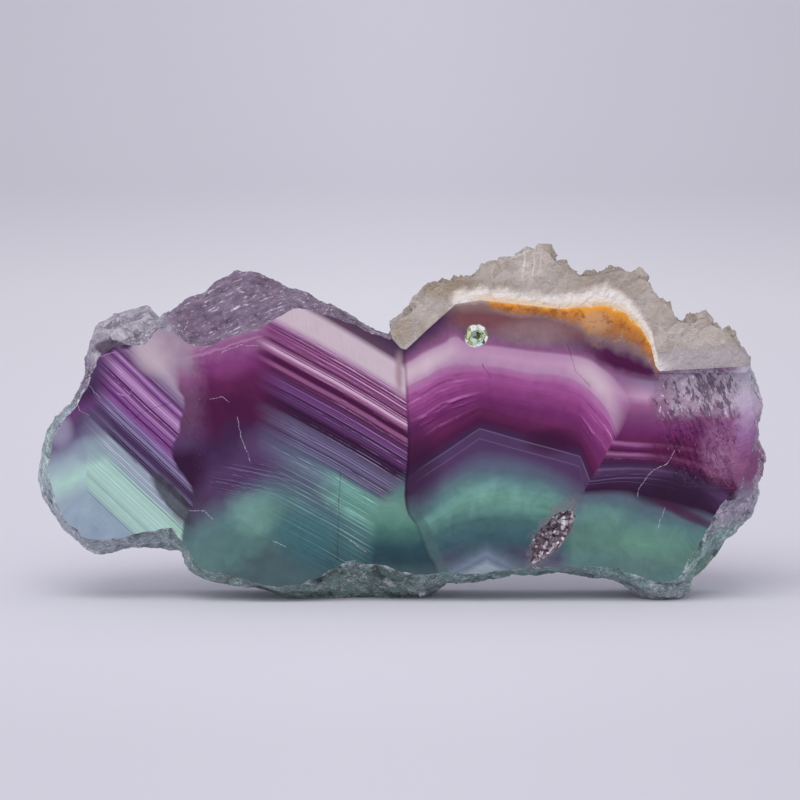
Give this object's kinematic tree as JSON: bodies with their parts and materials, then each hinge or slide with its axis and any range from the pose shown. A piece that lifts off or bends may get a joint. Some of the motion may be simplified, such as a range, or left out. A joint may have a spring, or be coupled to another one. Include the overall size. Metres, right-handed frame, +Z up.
{
  "type": "rainbow fluorite slice",
  "caption": "Sawn slice of colour-banded fluorite with a rough broken rim and a crust of small quartz crystals on one shoulder, standing on its lower edge.",
  "frame": {"origin": "on the ground below the middle of the slice: the middle of its length and of its thickness, at the height of the feet it stands on", "axes": "+Z up. +X along the slice's length, to the right of somebody facing the front sawn face, towards the end with the quartz. +Y through the thickness, from the front sawn face to the back one."},
  "size_m": [0.1101, 0.016, 0.0543],
  "materials": {
    "fluorite": "sawn and polished on both faces with V-shaped bands of purple, mint green, teal, magenta and cream, glassy and see-through in places, broken and ledged round the rim",
    "quartz": "milky beige-grey to colourless, satin on the sawn faces, small glassy points on top, with orange iron stain near the fluorite"
  },
  "bodies": {
    "root": {"fluorite_slab": "fluorite", "quartz_crust": "quartz"}
  },
  "joints": []
}
